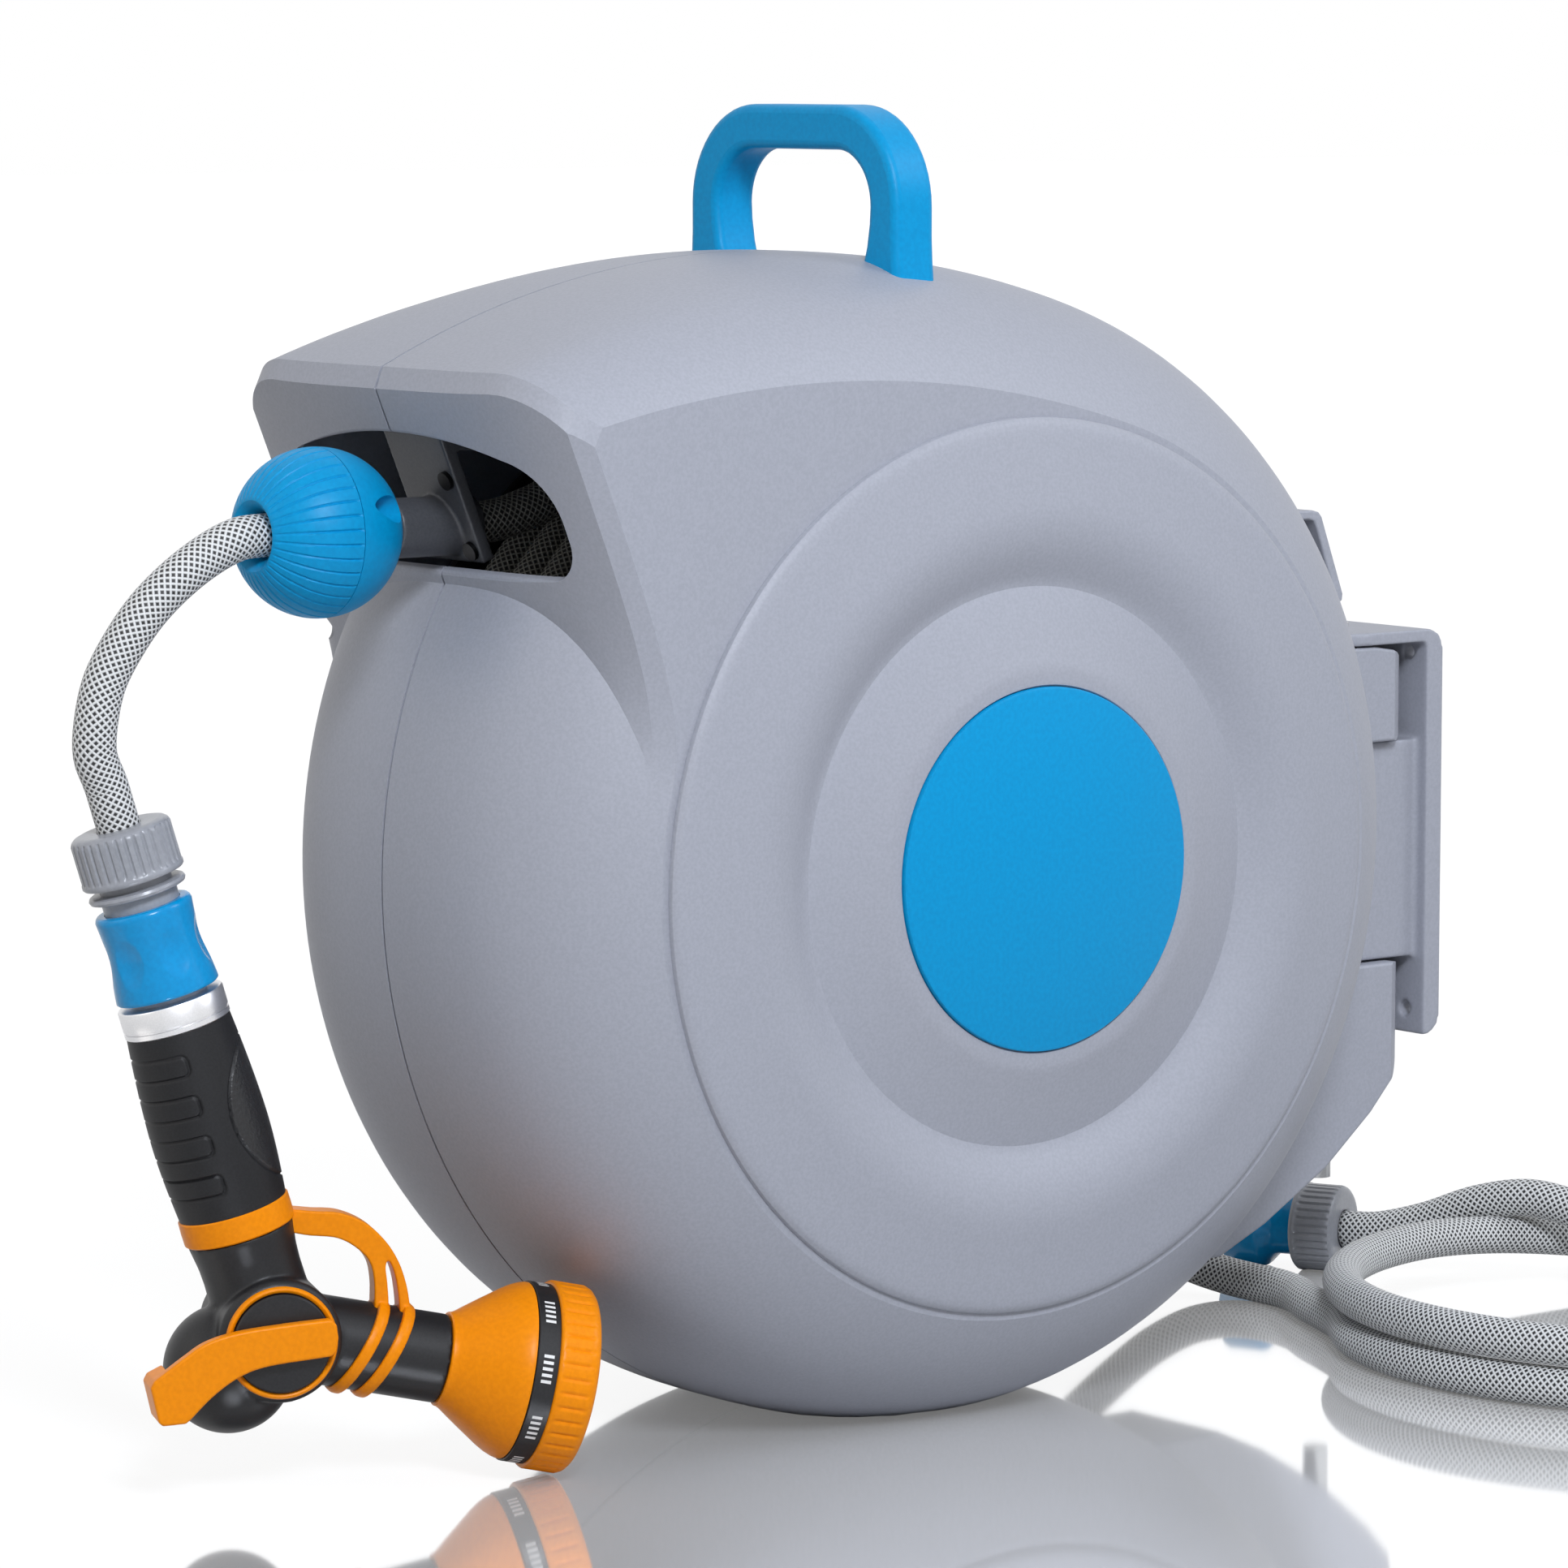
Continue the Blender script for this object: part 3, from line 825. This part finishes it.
# The inlet hose: leaves the gland at the casing's lower back, drops to the floor and lies there in a loose
# coil of nearly two turns, the upper turn on the lower one; its tail crosses the coil to the tap connector.
GLAND_AT, GLAND_FALL, GLAND_OUT = Vector((-0.0780016, 0.1430, 0.0620)), math.radians(24), 0.014
LOOP_AT, LOOP_R, LOOP_FROM, LOOP_SPAN, LOOP_STEP = (0.137, 0.300), 0.132, 228.6, 600, 15
FLOOR_R, TURN_GAP = HOSE_D / 2 + FLOOR_GAP * MM, 0.0006
STACK_Z, TAIL_Z = FLOOR_R + HOSE_D + TURN_GAP, 0.0177
TUCK, TAIL_IN = HOSE_D + TURN_GAP, 0.038
CLIMB, TUCK_IN, TAIL_TURN, TAIL_DROP = (230, 90), (440, 70), (510, 120), (510, 60)
TAIL_STEPS = ((30, 18.6), (58, 24), (82, 32.6), (104, 36.6), (126, 32.6), (148, 24), (168, 18.6), (183, 17.7))


def ease(a, start_and_span):
    """Rises smoothly from 0 to 1 over a span of degrees."""
    start, span = start_and_span
    t = min(max((a - start) / span, 0), 1)
    return t * t * (3 - 2 * t)


def loop_point(a):
    """The coil at an angle from its start: it climbs on the first turn, tucks in, and its tail drops inside."""
    r = LOOP_R - TUCK * ease(a, TUCK_IN) - TAIL_IN * ease(a, TAIL_TURN)
    z = FLOOR_R + (STACK_Z - FLOOR_R) * ease(a, CLIMB) - (STACK_Z - TAIL_Z) * ease(a, TAIL_DROP)
    turn = math.radians(LOOP_FROM + a)
    return Vector((LOOP_AT[0] + r * math.cos(turn), LOOP_AT[1] + r * math.sin(turn), z))


gland_axis = Vector((0, math.cos(GLAND_FALL), -math.sin(GLAND_FALL)))
loop_run = [loop_point(a) for a in range(0, LOOP_SPAN + 1, LOOP_STEP)]
heading = loop_run[-1] - loop_run[-2]
heading = Vector((heading.x, heading.y, 0)).normalized()
tail_run = [Vector((loop_run[-1].x, loop_run[-1].y, z * MM)) + d * MM * heading for d, z in TAIL_STEPS]
inlet_points = [GLAND_AT + GLAND_OUT * gland_axis, (-0.078, 0.170, 0.050), (-0.077, 0.184, 0.041),
                (-0.074, 0.197, 0.031), (-0.068, 0.209, 0.021), (-0.058, 0.219, 0.013), (-0.045, 0.226, 0.009),
                (-0.030, 0.229, 0.0077), (-0.014, 0.2285, 0.0077), (0.001, 0.224, 0.0077), (0.014, 0.217, 0.0077)]
inlet_line = smooth_route(inlet_points + loop_run + tail_run, HOSE_STEP)
inlet_hose, inlet_length = hose_tube("inlet_hose_braid", [inlet_line], Vector((0, 0, 1)))
dress(inlet_hose, braid, "casing", "hose_braid", "inlet_hose")
tail_place = Matrix.Translation(tail_run[-1]) @ heading.to_track_quat("Z", "Y").to_matrix().to_4x4()
tap_place = raised(tail_place, NUT_W)
inlet_nut = turned("ribbed_inlet_nut", nut_profile, 272, tap_place @ Matrix.Rotation(math.pi, 4, "X"), ribbed, 50)
dress(inlet_nut, connector_plastic, "casing", "connector_grey", "inlet_nut")
tap_profile = [(BORE_R, 0), (12, 0), (12, 9), (12.6, 10.4), (16.4, 14), (17.2, 15), (17.5, 16), (17.5, 29), (17, 30),
               (12.5, 30), (12, 29.5), (12, 15), (BORE_R, 15), (BORE_R, 0)]
tap_socket = turned("tap_socket", tap_profile, 128, tap_place)
dress(tap_socket, gloss_blue, "casing", "trim_blue", "tap_connector")

# The pieces that keep their solid's shape: drum, axle, drives, screws and pin, each in its real material.
# Plated steel is bright and a little blurred, black oxide dark with a metal's glint, and belt rubber dull.
DARK_SCREWS = ("carriage_screws", "ball_screws", "shell_screws")
steel = moulded_material("zinc_plated_steel", "#B9BBBE", 0.3, 0.6, 0.01, Metallic=1.0)
black_oxide = moulded_material("black_oxide_steel", "#2E2E30", 0.4, 0.6, 0.01, Metallic=1.0)
belt_rubber = moulded_material("belt_rubber", "#1C1C1E", 0.7, 0.8, 0.03)
NODE_MATERIALS = {"casing_grey": grey_plastic, "trim_blue": blue_plastic, "connector_grey": connector_plastic,
                  "steel": steel, "dark_plastic": black_plastic, "belt_rubber": belt_rubber, "grip_rubber": grip_rubber,
                  "nozzle_orange": orange_plastic, "ring_aluminium": aluminium, "hose_braid": braid}
for part in frame["record"]["subparts"]:
    node = bpy.data.objects.get(part["node"])
    if node is not None and node.type == "MESH":
        node.data.materials.clear()
        finish = black_oxide if part["node"] in DARK_SCREWS else NODE_MATERIALS[part["material_slot"]]
        node.data.materials.append(finish)

# The floor and the light: a polished pale sheet that carries the object's shadow and a soft mirror image
# runs back into a white room. Three soft panel lamps stand in front, to the right and behind.
FLOOR_SIZE, FLOOR_LIFT, ROOM_LIGHT, ROOM_WHITE = 40, 0.15, 0.28, 1.0
bpy.ops.mesh.primitive_plane_add(size=FLOOR_SIZE, location=(0, 0, 0))
floor = bpy.context.object
floor.name = "studio_floor"
floor_mat, floor_shader = new_material("polished_white_sheet", Roughness=0.06, IOR=1.5, Metallic=0.72)
floor_shader.inputs["Base Color"].default_value = linear("#F2F2F2")
rays = add_node(floor_mat, "ShaderNodeLightPath")
seen = add_node(floor_mat, "ShaderNodeMath", {"operation": "MULTIPLY"}, i0=rays.outputs["Is Camera Ray"], i1=FLOOR_LIFT)
lift = add_node(floor_mat, "ShaderNodeEmission", Strength=seen.outputs[0])
lifted = add_node(floor_mat, "ShaderNodeAddShader", i0=floor_shader.outputs[0], i1=lift.outputs[0])
dull = add_node(floor_mat, "ShaderNodeBsdfDiffuse", Color=linear("#C4C4C4"))
floor_side = add_node(floor_mat, "ShaderNodeMixShader", i0=rays.outputs["Is Diffuse Ray"], i1=lifted.outputs[0],
                      i2=dull.outputs[0])
floor_mat.node_tree.links.new(floor_side.outputs[0], floor_mat.node_tree.nodes["Material Output"].inputs[0])
floor.data.materials.append(floor_mat)

world = bpy.data.worlds.new("white_room")
bpy.context.scene.world = world
world.use_nodes = True
room = world.node_tree.nodes["Background"]
room_rays = add_node(world, "ShaderNodeLightPath")
clear = room_rays.outputs["Is Camera Ray"]
for ray in ("Is Glossy Ray", "Is Transmission Ray"):
    clear = add_node(world, "ShaderNodeMath", {"operation": "MAXIMUM"}, i0=clear, i1=room_rays.outputs[ray]).outputs[0]
room_level = add_node(world, "ShaderNodeMapRange", i0=clear, i3=ROOM_LIGHT, i4=ROOM_WHITE)
world.node_tree.links.new(room_level.outputs[0], room.inputs["Strength"])
room.inputs["Color"].default_value = (1, 1, 1, 1)


def soft_lamp(name, place, size, watts, tint):
    """A square panel lamp turned towards the middle of the casing."""
    bpy.ops.object.light_add(type="AREA", location=place)
    lamp = bpy.context.object
    lamp.name = name
    lamp.data.size, lamp.data.energy = size, watts
    lamp.data.color = linear(tint)[:3]
    lamp.rotation_mode = "QUATERNION"
    lamp.rotation_quaternion = (Vector((0, 0, AXIS_H)) - Vector(place)).to_track_quat("-Z", "Y")


soft_lamp("front_panel_lamp", (-0.6, -2.0, 1.3), 1.4, 5, "#FFF8EE")
soft_lamp("side_panel_lamp", (1.9, -1.0, 1.75), 0.6, 46, "#EEF4FF")
soft_lamp("rear_panel_lamp", (1.5, 1.5, 1.9), 1.2, 20, "#EEF4FF")
